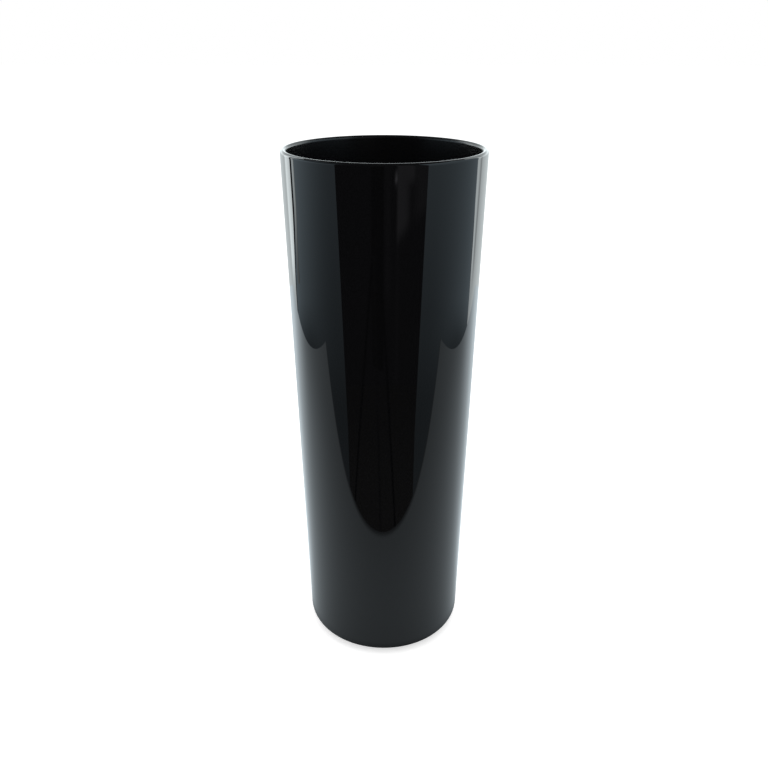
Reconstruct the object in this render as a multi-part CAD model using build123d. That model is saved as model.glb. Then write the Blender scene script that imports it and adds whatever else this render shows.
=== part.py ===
from build123d import *
import math
import os

# A tall florist bucket of thick, polished black plastic, moulded in one piece.
#
# The outer wall is a plain cone that widens towards the mouth. The inner wall runs parallel to it, and the two
# meet at the top in a full-round lip. At the foot, the wall turns under in a rounded heel and ends in a flat
# foot ring. Inside that ring the underside is recessed and slightly domed, so that the bucket stands on the
# ring alone, and a shallow dimple in the middle marks the place where the mould was filled.
#
# The whole vessel is one outline turned round Z. Sizes are in millimetres. The origin is the middle of the
# plane that the foot ring stands on, and +Z points up to the mouth.

# Overall sizes
height = 500.0  # from the foot ring's plane to the crown of the lip
mouth_diameter = 185.0  # outer wall, carried up to the height of the crown
base_diameter = 158.0  # outer wall, carried down to the foot ring's plane

# Walls and floor
wall = 5.5  # measured square to the wall
floor_thickness = 8.0  # under the water, at the floor's edge
floor_crown = 1.5  # how far the floor rises from its edge to its middle
well_radius = 9.0  # inside, where the wall meets the floor

# Foot
heel_radius = 16.0  # outside, where the wall turns under
foot_ring_width = 8.0  # the flat that touches the table
recess_depth = 2.5  # from the foot ring's plane up to the recessed underside
recess_slope = 45.0  # degrees from the foot ring's plane
recess_edge_radius = 1.0  # at both ends of the recess's slope

# Filling point in the middle of the underside
gate_dimple_diameter = 16.0
gate_dimple_depth = 1.0

mouth_radius = mouth_diameter / 2
base_radius = base_diameter / 2
lean = math.atan2(mouth_radius - base_radius, height)  # the wall's angle from upright


def wall_point(z, inset):
    """A point at height z on the line that lies inset inwards from the outer wall, square to it."""
    return Vector(base_radius + z * math.tan(lean) - inset / math.cos(lean), z)


def lip_points():
    """Where the lip's round leaves the outer wall, its far point along the wall, and where it meets the inner wall."""
    radius = wall / 2
    centre = wall_point(height - radius, radius)
    outwards = Vector(math.cos(lean), -math.sin(lean)) * radius
    upwards = Vector(math.sin(lean), math.cos(lean)) * radius
    return centre + outwards, centre + upwards, centre - outwards


def dome(middle_z, edge):
    """A shallow arc that leaves the axis level at middle_z and ends at edge."""
    return TangentArc((0, middle_z), edge, tangent=(1, 0))


def vessel_outline():
    """The half section of the bucket in the XZ plane, as a face that touches the axis."""
    heel_tangent = heel_radius / math.tan(math.pi / 4 + lean / 2)
    ring_inner = base_radius - heel_tangent - foot_ring_width
    recess_run = recess_depth / math.tan(math.radians(recess_slope))
    floor_edge_z = recess_depth + floor_thickness

    heel = Vector(base_radius, 0)
    ring_edge = Vector(ring_inner, 0)
    recess_edge = Vector(ring_inner - recess_run, recess_depth)
    well_edge = wall_point(floor_edge_z, wall)
    lip_outer, lip_far, lip_inner = lip_points()

    outline = [
        dome(recess_depth + floor_crown, recess_edge),
        Polyline(recess_edge, ring_edge, heel, lip_outer),
        ThreePointArc(lip_outer, lip_far, lip_inner),
        Line(lip_inner, well_edge),
        dome(floor_edge_z + floor_crown, well_edge),
        Line((0, floor_edge_z + floor_crown), (0, recess_depth + floor_crown)),
    ]
    section = make_face(Wire(sum((line.edges() for line in outline), ShapeList())))
    rounds = [
        (recess_edge, recess_edge_radius),
        (ring_edge, recess_edge_radius),
        (heel, heel_radius),
        (well_edge, well_radius),
    ]
    for corner, radius in rounds:
        section = fillet(section.vertices().sort_by_distance(corner)[0], radius)
    return section


def gate_dimple():
    """The ball whose cap is the dimple of the filling point."""
    half_width = gate_dimple_diameter / 2
    ball_radius = (half_width**2 + gate_dimple_depth**2) / (2 * gate_dimple_depth)
    top = recess_depth + floor_crown + gate_dimple_depth
    return Pos(0, 0, top - ball_radius) * Sphere(ball_radius)


def bucket_body():
    """The moulded vessel: the turned outline, less the dimple."""
    vessel = revolve(Plane.XZ * vessel_outline(), Axis.Z)
    return vessel - gate_dimple()


os.makedirs("parts", exist_ok=True)
export_step(bucket_body(), "parts/bucket_body.step")
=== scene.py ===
# %% [markdown]
# # A tall florist bucket in mirror-black plastic
#
# This lesson dresses one moulded bucket for its portrait. The construction model already holds the real
# sizes, and it arrives here as a fixed frame. What is added is what a construction model can't show: a
# surface smooth enough to be a mirror, the finish of polished black plastic, and a small photographer's
# studio for that mirror to look at. Everything is in metres, with the origin in the middle of the foot
# and Z along the bucket's axis.

# %% Start from the construction model
import bpy
import numpy as np
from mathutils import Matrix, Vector


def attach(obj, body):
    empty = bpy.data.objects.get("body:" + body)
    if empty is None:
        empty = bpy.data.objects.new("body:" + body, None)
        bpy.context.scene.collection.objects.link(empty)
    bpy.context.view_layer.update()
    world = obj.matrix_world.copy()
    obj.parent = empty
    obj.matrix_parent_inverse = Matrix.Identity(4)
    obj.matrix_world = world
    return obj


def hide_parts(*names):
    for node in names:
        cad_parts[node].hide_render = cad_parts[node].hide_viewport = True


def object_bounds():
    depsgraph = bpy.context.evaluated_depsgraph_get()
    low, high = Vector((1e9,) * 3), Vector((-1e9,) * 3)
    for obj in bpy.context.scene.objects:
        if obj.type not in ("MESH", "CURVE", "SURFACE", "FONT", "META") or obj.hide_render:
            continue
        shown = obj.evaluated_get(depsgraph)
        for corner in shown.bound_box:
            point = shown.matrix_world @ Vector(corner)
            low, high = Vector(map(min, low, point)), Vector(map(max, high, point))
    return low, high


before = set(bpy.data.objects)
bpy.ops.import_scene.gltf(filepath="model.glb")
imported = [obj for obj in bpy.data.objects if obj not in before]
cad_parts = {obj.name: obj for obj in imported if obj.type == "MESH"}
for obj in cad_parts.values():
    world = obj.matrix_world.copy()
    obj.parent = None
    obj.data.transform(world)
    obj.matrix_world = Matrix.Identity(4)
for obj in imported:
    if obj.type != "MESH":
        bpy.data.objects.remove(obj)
cad_low, cad_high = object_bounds()
print("construction box, mm:", [round(1000 * side, 1) for side in cad_high - cad_low])

# %% [markdown]
# ## Reading the sizes
#
# The height is the box's own. The other sizes are the maker's drawing sizes: both outer diameters, the
# wall, the round heel and the recess under the foot. They are written here in millimetres and turned to
# metres once, so that every line below can be read beside a ruler.

# %% The bucket's sizes
MM = 0.001
height = cad_high.z - cad_low.z
mouth_radius = 185.0 / 2 * MM  # outer wall, carried up to the height of the lip's crown
base_radius = 158.0 / 2 * MM  # outer wall, carried down to the plane of the foot
wall = 5.5 * MM
floor_thickness = 8.0 * MM
crown = 1.5 * MM  # how far the floor rises from its edge to its middle, above and below
well_radius = 9.0 * MM
heel_radius = 16.0 * MM
foot_ring_width = 8.0 * MM
recess_depth = 2.5 * MM
recess_edge_radius = 1.0 * MM
gate_radius = 8.0 * MM
gate_depth = 1.0 * MM

slope = (mouth_radius - base_radius) / height
lean = np.arctan(slope)
print("the wall leans out by", round(float(np.degrees(lean)), 2), "degrees")

# %% [markdown]
# ## The outline
#
# A moulded bucket is a body of revolution, so one half section says everything about its shape. It could
# be drawn as a curve and spun with a modifier. Here it is a chain of corner points, each with the radius
# of its round, worked out as arrays, because a mirror shows the smallest error and needs control over
# where the rows fall. A row close to each end of a round keeps the long straight wall truly straight.

# %% Rounding a chain of corners
def rounded(corners, row_gap=12 * MM, degrees_a_row=5):
    """The outline through (r, z, radius) corners.

    A corner turns by t between the unit directions a (arriving) and b (leaving). Its round starts
    radius * tan(t / 2) before the corner and its points are the start, turned about the round's centre by
    equal angles up to t. Straight runs get a row every row_gap, and one near each end.
    """
    points = np.array([corner[:2] for corner in corners])
    runs = [points[:1]]
    for before, here, after, (_, _, radius) in zip(points, points[1:], points[2:], corners[1:]):
        a = (here - before) / np.hypot(*(here - before))
        b = (after - here) / np.hypot(*(after - here))
        side = np.sign(a[0] * b[1] - a[1] * b[0])
        turn = np.arccos(np.clip(a @ b, -1, 1))
        centre = here - a * radius * np.tan(turn / 2) + side * radius * np.array([-a[1], a[0]])
        spoke = side * radius * np.array([a[1], -a[0]])
        rows = 1 + int(np.ceil(np.degrees(turn) / degrees_a_row)) if radius else 1
        angle = side * np.linspace(0, turn, rows)
        x = spoke[0] * np.cos(angle) - spoke[1] * np.sin(angle)
        z = spoke[0] * np.sin(angle) + spoke[1] * np.cos(angle)
        runs.append(centre + np.stack([x, z], axis=1))
    runs.append(points[-1:])
    outline = [runs[0]]
    for left, entered in zip(runs, runs[1:]):
        length = np.hypot(*(entered[0] - left[-1]))
        inner = np.arange(row_gap, length - row_gap / 2, row_gap)
        near_ends = [0.4 * MM, length - 0.4 * MM] if length > 4 * MM else []
        share = np.sort(np.concatenate([inner, near_ends])) / max(length, MM)
        outline.append(left[-1] + share[:, None] * (entered[0] - left[-1]))
        outline.append(entered)
    return np.concatenate(outline)


square_edge = rounded([(0, 0, 0), (60 * MM, 0, 10 * MM), (60 * MM, 60 * MM, 0)])
print("a test corner of 60 x 60 mm with a 10 mm round has", len(square_edge), "points")

# %% [markdown]
# The section runs from the middle of the underside, out under the foot, up the outer wall, over the lip,
# down the inner wall and back to the axis along the floor. Both floors are shallow domes, which a moulder
# likes because a flat one would sink in the middle as it cools. The lip is a half circle as wide as the
# wall, which is the same as two square corners that are each rounded by half the wall.

# %% The bucket's section
def on_wall(up, inset, radius):
    """The corner that lies up along the leaning outer wall, and inset square to it."""
    r = base_radius + up * np.sin(lean) - inset * np.cos(lean)
    z = up * np.cos(lean) + inset * np.sin(lean)
    return (r, z, radius)


def dome(edge_radius, edge_z, shares):
    """Points of a dome at shares of its edge's radius: z = edge_z + crown * (1 - share squared)."""
    return [(edge_radius * share, edge_z + crown * (1 - share**2), 0) for share in shares]


lip_up = (height - wall / 2 * (1 + np.sin(lean))) / np.cos(lean) + wall / 2
floor_z = recess_depth + floor_thickness
well = on_wall((floor_z - wall * np.sin(lean)) / np.cos(lean), wall, well_radius)
ring_inner = base_radius - heel_radius / np.tan(np.pi / 4 + lean / 2) - foot_ring_width
recess_radius = ring_inner - recess_depth
gate_shares = np.linspace(0, 1, 5)
gate_floor = dome(recess_radius, recess_depth, gate_shares * gate_radius / recess_radius)
gate = [(r, z + gate_depth * (1 - share**2), 0) for (r, z, _), share in zip(gate_floor, gate_shares)]
corners = [
    *gate,
    *dome(recess_radius, recess_depth, np.linspace(0.2, 0.92, 8)),
    (recess_radius, recess_depth, recess_edge_radius),
    (ring_inner, 0, recess_edge_radius),
    (base_radius, 0, heel_radius),
    on_wall(lip_up, 0, wall / 2),
    on_wall(lip_up, wall, wall / 2),
    well,
    *dome(well[0], floor_z, np.linspace(0.84, 0, 12)),
]
outline = rounded(corners)
print("outline:", len(outline), "points, from z", outline[:, 1].min(), "to", outline[:, 1].max())

# %% [markdown]
# ## Turning the outline
#
# A point of the outline at radius r goes to (r cos a, r sin a, z) for every angle a round the axis. The
# first and last points are on the axis, so each becomes a single pole with a fan of triangles, and the
# surface closes on itself: outside, lip, inside and underside are one skin, as the moulding is.

# %% A turned surface
def mesh_object(name, points, faces, smooth=True):
    """A mesh object at the origin from an array of points and a list of faces."""
    mesh = bpy.data.meshes.new(name)
    mesh.from_pydata(points.reshape(-1, 3), [], faces)
    mesh.polygons.foreach_set("use_smooth", [smooth] * len(mesh.polygons))
    mesh.update()
    piece = bpy.data.objects.new(name, mesh)
    bpy.context.scene.collection.objects.link(piece)
    return piece


def grid_faces(rows, columns, wrap):
    """The quads of a grid of points, row by row. wrap joins the last column to the first."""
    row, column = np.mgrid[0 : rows - 1, 0 : columns if wrap else columns - 1]
    here = row * columns + column
    across = row * columns + (column + 1) % columns
    return np.stack([here, across, across + columns, here + columns], axis=-1).reshape(-1, 4)


segments = 256


def turned(name, outline):
    """The closed surface of an outline turned about Z: (r cos a, r sin a, z), with a pole at each end."""
    angle = np.linspace(0, 2 * np.pi, segments, endpoint=False)
    r, z = outline[1:-1, :1], outline[1:-1, 1:]
    skin = np.stack([r * np.cos(angle), r * np.sin(angle), z + 0 * angle], axis=-1).reshape(-1, 3)
    poles = np.array([[0, 0, outline[0, 1]], [0, 0, outline[-1, 1]]])
    ring = np.arange(segments)
    following = (ring + 1) % segments
    last_row = len(skin) - segments
    bottom_fan = np.stack([following, ring, np.full(segments, len(skin))], axis=1)
    top_fan = np.stack([last_row + ring, last_row + following, np.full(segments, len(skin) + 1)], axis=1)
    faces = grid_faces(len(outline) - 2, segments, wrap=True).tolist()
    return mesh_object(name, np.concatenate([skin, poles]), faces + bottom_fan.tolist() + top_fan.tolist())


body = turned("bucket_body_polished", outline)
print(body.name, "has", len(body.data.polygons), "faces")

# %% [markdown]
# The new skin has to lie on the construction model. Every point of that model is measured against the
# outline: its distance to the nearest straight piece of it, in the plane of its own radius and height.

# %% Measure the skin against the construction model
def distance_to_outline(points, outline):
    """The distance of each (r, z) point to the nearest segment of the outline that has a length."""
    start = outline[:-1]
    step = outline[1:] - start
    has_length = step.any(axis=1)  # the lip's two rounds share their crown point, so it is there twice
    start, step = start[has_length], step[has_length]
    offset = points[:, None] - start
    share = np.clip((offset * step).sum(-1) / (step**2).sum(-1), 0, 1)
    return np.linalg.norm(offset - share[..., None] * step, axis=-1).min(axis=1)


cad_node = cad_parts["bucket_body"]
cad_points = np.empty(3 * len(cad_node.data.vertices), dtype=np.float32)
cad_node.data.vertices.foreach_get("co", cad_points)
cad_x, cad_y, cad_z = cad_points.reshape(-1, 3).T
cad_section = np.stack([np.hypot(cad_x, cad_y), cad_z], axis=1)
error = distance_to_outline(cad_section, outline)
print("largest distance from the construction model, mm:", round(1000 * float(error.max()), 3))

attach(body, "root")
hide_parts("bucket_body")

# %% [markdown]
# ## Polished black plastic
#
# The real thing is a naturally clear plastic, filled with carbon black and moulded in a polished steel
# mould, so the light that enters it is gone and all that comes back is the mirror of its skin. Such a
# plastic has an index of refraction of about 1.5: it returns 4 % of the light head-on and nearly all of
# it at the silhouette. That is why the middle of the bucket looks black and its edges look pale. Its
# colour could be painted lighter to show it under any light, but then the depth would go.
#
# Polish isn't perfect. The skin has the faint long waves of a thick wall that shrank as it cooled, a few
# centimetres from crest to crest, and the foot ring has the fine scuffs of being set down. The inside is
# duller than the outside: the steel core is only stoned, along its length, so that it can be drawn out of
# the moulding. A value kept at each point of the mesh says which side of the lip it is on.

# %% Mark the inside
crown_row = outline[:, 1].argmax()
change_rows = 12  # of the lip's round, over which the polish changes
past_the_lip = ((np.arange(len(outline)) - crown_row) / change_rows).clip(0, 1)  # 0 outside, 1 inside
at_points = np.concatenate([np.repeat(past_the_lip[1:-1], segments), past_the_lip[[0, -1]]])
body.data.attributes.new("inside", "FLOAT", "POINT").data.foreach_set("value", at_points)
print("points inside:", int(at_points.sum()), "of", len(at_points))

# %% Colour and node helpers
def linear(hex_colour):
    """An sRGB hex colour, such as "1a1a1c", as linear red, green, blue and alpha."""
    channels = [int(hex_colour[i : i + 2], 16) / 255 for i in (0, 2, 4)]
    return [c / 12.92 if c <= 0.04045 else ((c + 0.055) / 1.055) ** 2.4 for c in channels] + [1.0]


def add_node(material, kind, links=None, inputs=None, **settings):
    """Adds a shader node: settings on the node, values on its inputs, and links from other sockets."""
    node = material.node_tree.nodes.new(kind)
    for name, value in settings.items():
        setattr(node, name, value)
    for name, value in (inputs or {}).items():
        node.inputs[name].default_value = value
    for name, socket in (links or {}).items():
        material.node_tree.links.new(socket, node.inputs[name])
    return node


def new_material(name):
    """An empty node material."""
    material = bpy.data.materials.new(name)
    material.use_nodes = True
    material.node_tree.nodes.clear()
    return material


print("white turned to linear:", linear("ffffff"))

# %% [markdown]
# The mirror is the shader's own clear skin over a nearly black colour. The waves go into its bump and the
# scuffs and the satin inside into its roughness. The pattern sizes are in millimetres, like the rest.

# %% The bucket's finish
def polished_black_plastic():
    """Carbon-black plastic from a polished mould: a dark mirror with long shrinkage waves."""
    material = new_material("polished_black_plastic")
    place = add_node(material, "ShaderNodeTexCoord").outputs["Object"]
    height_above_foot = add_node(material, "ShaderNodeSeparateXYZ", {"Vector": place}).outputs["Z"]

    wave_length = 70 * MM
    wave_height = 0.05 * MM
    waves = add_node(
        material,
        "ShaderNodeTexNoise",
        {"Vector": place},
        {"Scale": 1 / wave_length, "Detail": 1.0, "Roughness": 0.4},
    )
    bump = add_node(
        material,
        "ShaderNodeBump",
        {"Height": waves.outputs["Fac"]},
        {"Strength": 1.0, "Distance": wave_height},
    )

    scuff_grain = 0.8 * MM
    scuff_height = 0.6 * MM  # above the foot's plane, where the scuffs end
    scuffs = add_node(
        material,
        "ShaderNodeTexNoise",
        {"Vector": place},
        {"Scale": 1 / scuff_grain, "Detail": 3.0, "Roughness": 0.7},
    )
    worn = add_node(
        material,
        "ShaderNodeMapRange",
        {"Value": height_above_foot},
        {"From Min": 0.0, "From Max": scuff_height, "To Min": 0.32, "To Max": 0.0},
        interpolation_type="SMOOTHSTEP",
    )
    inside = add_node(material, "ShaderNodeAttribute", attribute_name="inside").outputs["Fac"]
    polished, satin = 0.015, 0.26
    polish = add_node(
        material, "ShaderNodeMapRange", {"Value": inside}, {"To Min": polished, "To Max": satin}
    )
    roughness = add_node(
        material,
        "ShaderNodeMath",
        {0: scuffs.outputs["Fac"], 1: worn.outputs["Result"], 2: polish.outputs["Result"]},
        operation="MULTIPLY_ADD",
    )
    skin = add_node(
        material,
        "ShaderNodeBsdfPrincipled",
        {"Normal": bump.outputs["Normal"], "Roughness": roughness.outputs["Value"]},
        {"Base Color": linear("080809"), "IOR": 1.5},
    )
    add_node(material, "ShaderNodeOutputMaterial", {"Surface": skin.outputs["BSDF"]})
    return material


body.data.materials.append(polished_black_plastic())
print("finish:", body.data.materials[0].name)

# %% [markdown]
# ## The studio
#
# A black mirror shows nothing but its surroundings, so the surroundings are the lighting. The bucket
# stands on a white table between two white side panels, with a white backdrop behind it. In front, the
# panels leave a gap for the camera, and through that gap the bucket sees the unlit room. The gap is the
# dark band down its front, the table's front edge is the curve that closes the band at the bottom, and
# the backdrop is the pale line along each silhouette.
#
# Lamps bouncing light round such a tent would work, but would be slow and grainy in a mirror. So each
# surface of the tent glows by itself. How bright it is at each point is a formula, kept in the mesh as an
# attribute, and only reflections see it. The camera looks straight through it at a plain white world, as
# it would at a backdrop that has burnt out to white.

# %% Glowing sheets for the mirror to see
def glowing_sheet(name, points, glow, tint):
    """A stage surface from a grid of points, which only reflections see.

    glow is its brightness at each point, where 1 is white. The tint is divided by its own average, so that
    it colours the light without dimming it.
    """
    rows, columns = points.shape[:2]
    sheet = mesh_object(name, points, grid_faces(rows, columns, wrap=False).tolist())
    sheet.data.attributes.new("glow", "FLOAT", "POINT").data.foreach_set("value", glow.ravel())
    colour = np.array(linear(tint)[:3])
    colour = [*(colour / colour.mean()), 1.0]
    material = new_material(name + "_light")
    strength = add_node(material, "ShaderNodeAttribute", attribute_name="glow").outputs["Fac"]
    light = add_node(material, "ShaderNodeEmission", {"Strength": strength}, {"Color": colour})
    add_node(material, "ShaderNodeOutputMaterial", {"Surface": light.outputs["Emission"]})
    sheet.data.materials.append(material)
    sheet.visible_camera = False
    sheet.visible_diffuse = False
    sheet.visible_shadow = False
    print(name, "glows from", round(float(glow.min()), 2), "to", round(float(glow.max()), 2))
    return sheet


def ease(value, start, end):
    """0 before start, 1 after end, and a smooth 3 t^2 - 2 t^3 between them."""
    t = np.clip((value - start) / (end - start), 0, 1)
    return t * t * (3 - 2 * t)


def bell(value, middle, width):
    """A smooth bump of height 1 at the middle, which is down to a third at width to either side."""
    return np.exp(-(((value - middle) / width) ** 2))


def round_the_bucket(azimuth, radius, z):
    """Points at an azimuth in degrees, where 0 is towards the camera and 90 is to its right."""
    angle = np.radians(azimuth)
    return np.stack([radius * np.sin(angle), -radius * np.cos(angle), z + 0 * angle], axis=-1)


# %% [markdown]
# The table is brightest at the back, where the backdrop lights it, and falls off towards the dark room and
# towards its far corners. The last strip before the backdrop is dimmer again. Beside the bucket's foot a
# painted shade of the bucket darkens the table, and under the round of the heel a painted shade makes it
# black. This painted shade gives the heel its dark rim and makes the bucket sit on the table.

# %% The white table
table_half_width = 845 * MM
table_front = -290 * MM
table_back = 1300 * MM
spread = np.linspace(-1, 1, 201)
x, y = np.meshgrid(
    table_half_width * spread * np.abs(spread), np.linspace(table_front, table_back, 401)
)
distance = np.hypot(x, y)
backness = y / distance  # -1 straight in front of the bucket, 1 straight behind it
foot_radius = base_radius - heel_radius
# painted shade of the bucket on the table's glow: a falloff beside the foot, and black under the heel's
# round
painted_shade_beside_foot = np.exp(-np.clip(distance - base_radius, 0, None) / (40 * MM))
painted_shade_under_heel = 1 - ease(distance, foot_radius + 4 * MM, base_radius + 18 * MM)
table_glow = 0.78 + 0.33 * backness + 0.12 * ease(backness, 0.2, 0.6)
table_glow *= 1.07 - 0.27 * ease(distance * (1 - backness), 250 * MM, 850 * MM)
table_glow *= 1 + 0.3 * ease(backness, 0.3, 0.6) * ease(distance, 400 * MM, 1200 * MM)
table_glow *= 1 - 0.45 * ease(backness, 0.75, 1)
table_glow *= 1 - 0.06 * x / distance
# painted shade: the glow darkens over the front 15 mm, where the rounded front edge turns away from the
# light
table_glow *= 0.3 + 0.7 * ease(y, table_front, table_front + 15 * MM)  # its front edge is rounded off
table_glow *= (1 - (0.3 + 0.1 * backness) * painted_shade_beside_foot) * (1 - painted_shade_under_heel)
askew = 0.025  # how far the front edge runs back per metre to the right of the middle
skewed = y - askew * x * ease(-y, 0, 200 * MM)
below_foot = 0.5 * MM
glowing_sheet("table", np.stack([x, skewed, 0 * x - below_foot], axis=-1), table_glow, "ebf8ff")

# %% [markdown]
# Each side panel is a curved sheet. Its front edge leans, because it was stood up by hand, and it is lit
# from above and behind. Its brightness is a start value that grows along the panel, plus a rise with
# height. Below the table its glow carries a painted shade of the table, and near its top, past the lamps,
# it is dimmer. Only the lip and the inside of the mouth see that far up.

# %% The side panels
panel_radius = 1250 * MM


def side_panel(name, side, front, back, glow_ends, rise_ends, top_loss):
    """A curved panel on one side, -1 for left and 1 for right.

    front and back are the azimuths of its two edges in degrees, each at the bottom and at the top.
    glow_ends and rise_ends are its brightness and the growth of it with height, in front and at the back.
    top_loss is the share of it that is lost near the top.
    """
    front_low, front_high = front
    back_low, back_high = back
    dim, lit = glow_ends
    rise_front, rise_back = rise_ends
    share, z = np.meshgrid(np.linspace(0, 1, 60), np.linspace(-950 * MM, 2000 * MM, 346))
    front_edge = front_low + (front_high - front_low) * ((z + 400 * MM) / (650 * MM)).clip(0, 1)
    back_edge = back_low + (back_high - back_low) * ease(z, -40 * MM, 200 * MM)
    azimuth = front_edge + (back_edge - front_edge) * share
    along = ease(azimuth, front_high + 2, 103)
    rise = rise_front + (rise_back - rise_front) * along
    glow = dim + (lit - dim) * along + rise * (z + 75 * MM).clip(0, None)
    # painted shade of the table on the panel's glow, below the table's edge
    glow *= 1 - (0.45 + 0.2 * along) * ease(-z, 30 * MM, (380 - 200 * along) * MM)
    glow *= 1 - top_loss * ease(z, 850 * MM, 1100 * MM)
    points = round_the_bucket(side * azimuth, panel_radius, z)
    return glowing_sheet(name, points, glow.clip(0, 1.2), "dcf2ff")


side_panel("left_panel", -1, (46.5, 52.5), (126, 118), (0.26, 0.46), (0.4, 0.9), top_loss=0.8)
side_panel("right_panel", 1, (39.5, 46.3), (120, 119), (0.30, 0.54), (0.5, 0.2), top_loss=0.1)

# %% [markdown]
# The left panel's back edge catches a lamp. It could be one more term in the panel's brightness, but its
# edges have to be sharper than the panel's own rows of points, so it is a narrow sheet of its own, just in
# front of the panel.

# %% A lit strip on the left panel's back edge
share, z = np.meshgrid(np.linspace(0, 1, 20), np.linspace(0, 1100 * MM, 120))
strip_azimuth = 117.7 + 3 * (1 - ease(z, 50 * MM, 200 * MM)) - 5 * (1 - share)
strip_glow = (0.5 + 2.0 * ease(z, 0, 300 * MM)) * (0.3 + 0.7 * ease(share, 0, 0.35))
glowing_sheet("lit_strip", round_the_bucket(-strip_azimuth, panel_radius - 5 * MM, z), strip_glow, "f4fdff")

# %% [markdown]
# The backdrop closes the tent behind the bucket. It is dimmest straight behind it and brightens towards
# its ends, where a lamp shines on it from each side. A paler band runs along it a little above the mouth,
# which only the lip sees, as a thin bright line. At the left the backdrop stops short of the panel, and
# the dark gap shows as a hairline down the bucket's edge. At the right a fold is painted on the flat sheet:
# a painted highlight near its end and a painted shade line along the fold.

# %% The backdrop
share, z = np.meshgrid(np.linspace(0, 1, 360), np.linspace(-300 * MM, 1500 * MM, 120))
right_end = 120.3 - 2 * ease(z, 80 * MM, 270 * MM)
left_end = 360 - 128 + 6 * ease(z, -40 * MM, 200 * MM)
azimuth = right_end + (left_end - right_end) * share
behind = np.abs(azimuth - 180)
above_table = ease(z, -30 * MM, 80 * MM)
painted_fold_line = 126.5 + 2 * ease(z, 80 * MM, 270 * MM)
backdrop_glow = 0.8 + ease(behind, 12, 52) + 1.3 * bell(z, 620 * MM, 170 * MM)
backdrop_glow += 1.7 * ease(azimuth, 360 - 137.5, 360 - 133) * above_table
# painted highlight near the right end, and painted shade along the fold line of the flat sheet
backdrop_glow += (0.85 * bell(azimuth, 121.5, 3) - 0.75 * bell(azimuth, painted_fold_line, 2)) * above_table
glowing_sheet("backdrop", round_the_bucket(azimuth, panel_radius, z), backdrop_glow, "f4fdff")

# %% [markdown]
# The room is nearly dark. Its floor is a little lighter than its walls, a pale cupboard stands at the
# right with a painted shadow across it, and a small lamp glints beside it. They are faint, but without
# them the dark band would be as flat as paint.

# %% The unlit room
room_radius = 2500 * MM
room_floor = -900 * MM
room_top = 3000 * MM
azimuth, z = np.meshgrid(np.linspace(-180, 180, 361), np.linspace(room_floor, room_top, 196))
foot_of_cupboard = -330 * MM + 4 * MM * (azimuth - 14)
cupboard = ease(azimuth, 12, 16) * (1 - 0.6 * ease(azimuth, 30, 34))
cupboard *= ease(z, foot_of_cupboard, foot_of_cupboard + 90 * MM)
# painted shadow across the cupboard
shadow_on_it = bell(azimuth, 30, 5) * (1 - ease(z, -90 * MM, -40 * MM))
door_frame = bell(azimuth, 4, 3) * ease(z, -650 * MM, -450 * MM) + bell(azimuth, 15, 1.5)
lamp_glint = bell(azimuth, 12.5, 1.2) * bell(z, -55 * MM, 18 * MM)
wall_glow = 0.028 + 0.14 * cupboard * (1 - 0.9 * shadow_on_it) + 0.02 * door_frame + 0.6 * lamp_glint
glowing_sheet("room_walls", round_the_bucket(azimuth, room_radius, z), wall_glow, "f8f6ff")
under_wall = 9 * MM  # the floor and the ceiling run on behind the wall, so that no light leaks in
reach = room_radius + under_wall
azimuth, radius = np.meshgrid(np.linspace(-180, 180, 91), np.linspace(20 * MM, reach, 40))
floor_glow = 0.03 + 0.016 * ease(radius, 2400 * MM, 1600 * MM)
glowing_sheet("room_floor", round_the_bucket(azimuth, radius, room_floor), floor_glow, "fffdf8")
glowing_sheet("room_ceiling", round_the_bucket(azimuth, radius, room_top), 0.05 + 0 * radius, "fafaff")

# %% [markdown]
# The camera's stand is straight ahead and a little to the left. It has three dark legs and a boxy head,
# all of them flat sheets, because a mirror that far away can't tell.

# %% The camera's stand
stand_y = -800 * MM


def stand_leg(name, foot_x, top_x, glow=0.002):
    """A flat dark leg from the floor of the room to the head of the stand."""
    half_width = 17 * MM
    leg_height = 1100 * MM
    edge, up = np.meshgrid([-half_width, half_width], [0.0, 1.0])
    x = foot_x + (top_x - foot_x) * up + edge
    z = room_floor + leg_height * up
    return glowing_sheet(name, np.stack([x, 0 * x + stand_y, z], axis=-1), 0 * x + glow, "ffffff")


stand_leg("stand_leg_left", -970 * MM, -165 * MM)
stand_leg("stand_leg_middle", 25 * MM, -157 * MM, glow=0.022)
stand_leg("stand_leg_right", 465 * MM, -63 * MM)
edge, z = np.meshgrid([-190 * MM, -10 * MM], [-20 * MM, 560 * MM])
head = np.stack([edge, 0 * edge + stand_y, z], axis=-1)
glowing_sheet("stand_head", head, 0 * edge + 0.008, "ffffff")

# %% [markdown]
# ## Floor, world and lamp
#
# The camera sees a plain white floor that runs into a plain white world, with the soft shadow of the
# bucket on it. Both light the bucket like matt white paper, and both look a little lighter when they are
# looked at, so that the picture's background is clean. The mirror sees the table above instead of the
# floor. The lamp is large and straight overhead, because a white tent has no hard shadows.

# %% Lighter where it is looked at
def looked_at(owner):
    """1 for rays from the camera, in gloss and through glass, and 0 for the light that falls on things."""
    rays = add_node(owner, "ShaderNodeLightPath").outputs
    pair = {0: rays["Is Camera Ray"], 1: rays["Is Glossy Ray"]}
    either = add_node(owner, "ShaderNodeMath", pair, operation="MAXIMUM").outputs["Value"]
    three = {0: either, 1: rays["Is Transmission Ray"]}
    return add_node(owner, "ShaderNodeMath", three, operation="MAXIMUM").outputs["Value"]


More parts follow.
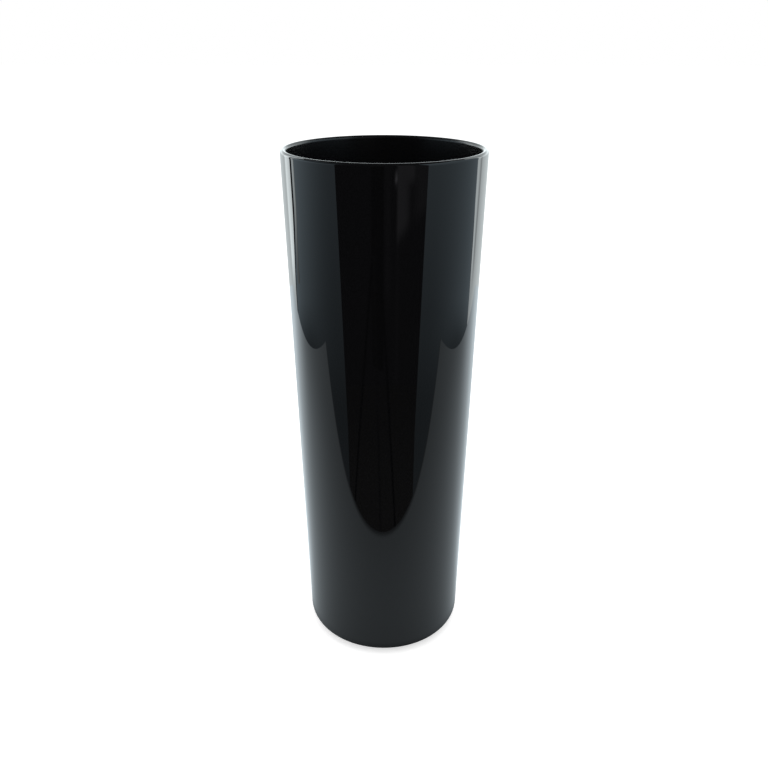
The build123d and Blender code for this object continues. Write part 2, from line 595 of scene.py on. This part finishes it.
# %% The floor that the camera sees
def white_floor():
    """Matt white paper with a lift of its own where it is looked at."""
    material = new_material("white_floor")
    paper = add_node(material, "ShaderNodeBsdfDiffuse", inputs={"Color": linear("e8e8e8")})
    lift = add_node(
        material, "ShaderNodeMath", {0: looked_at(material)}, {1: 0.6}, operation="MULTIPLY"
    )
    light = add_node(material, "ShaderNodeEmission", {"Strength": lift.outputs["Value"]})
    both = add_node(
        material, "ShaderNodeAddShader", {0: paper.outputs["BSDF"], 1: light.outputs["Emission"]}
    )
    add_node(material, "ShaderNodeOutputMaterial", {"Surface": both.outputs["Shader"]})
    return material


half_floor = 12.0
floor_x = half_floor * np.array([-1, 1, 1, -1])
floor_y = half_floor * np.array([-1, -1, 1, 1])
floor_points = np.stack([floor_x, floor_y, 0 * floor_x - 0.2 * MM], axis=-1)
floor = mesh_object("floor", floor_points, [(0, 1, 2, 3)], smooth=False)
floor.data.materials.append(white_floor())
floor.visible_glossy = False
print("floor:", 2 * half_floor, "m square")

# %% The world
world = bpy.data.worlds.new("white_studio")
world.use_nodes = True
world.node_tree.nodes.clear()
strength = add_node(
    world, "ShaderNodeMapRange", {"Value": looked_at(world)}, {"To Min": 0.75, "To Max": 1.0}
)
sky = add_node(
    world, "ShaderNodeBackground", {"Strength": strength.outputs["Result"]}, {"Color": linear("ffffff")}
)
add_node(world, "ShaderNodeOutputWorld", {"Surface": sky.outputs["Background"]})
bpy.context.scene.world = world
print("world:", world.name)

# %% One soft lamp overhead
lamp = bpy.data.lights.new("overhead_softbox", "AREA")
lamp.shape = "RECTANGLE"
lamp.size = 2.4
lamp.size_y = 2.4
lamp.energy = 17
softbox = bpy.data.objects.new("overhead_softbox", lamp)
softbox.location = (0, 0.1, 2.2)
softbox.visible_glossy = False
bpy.context.scene.collection.objects.link(softbox)
print("lamp:", lamp.size, "m square,", softbox.location.z, "m up")

# %% [markdown]
# ## The camera
#
# The camera looks down a little from just above the lip, close enough that the mouth opens into an
# ellipse and the walls draw together towards the foot.

# %% Camera and output
camera_data = bpy.data.cameras.new("camera")
camera_data.sensor_width = 36.0
camera_data.lens = 39.4
camera = bpy.data.objects.new("camera", camera_data)
camera.location = (0, -767.7 * MM, 604 * MM)
aim = Vector((0, 0, 271.35 * MM))
camera.rotation_euler = (aim - camera.location).to_track_quat("-Z", "Y").to_euler()
camera.rotation_euler.rotate_axis("Z", 0.0014)  # the camera hangs a twelfth of a degree off level
camera_data.clip_start = 0.01
camera_data.clip_end = 100
bpy.context.scene.collection.objects.link(camera)
bpy.context.scene.camera = camera
bpy.context.scene.view_settings.view_transform = "Standard"
print("camera:", round((aim - camera.location).length, 3), "m from what it looks at")
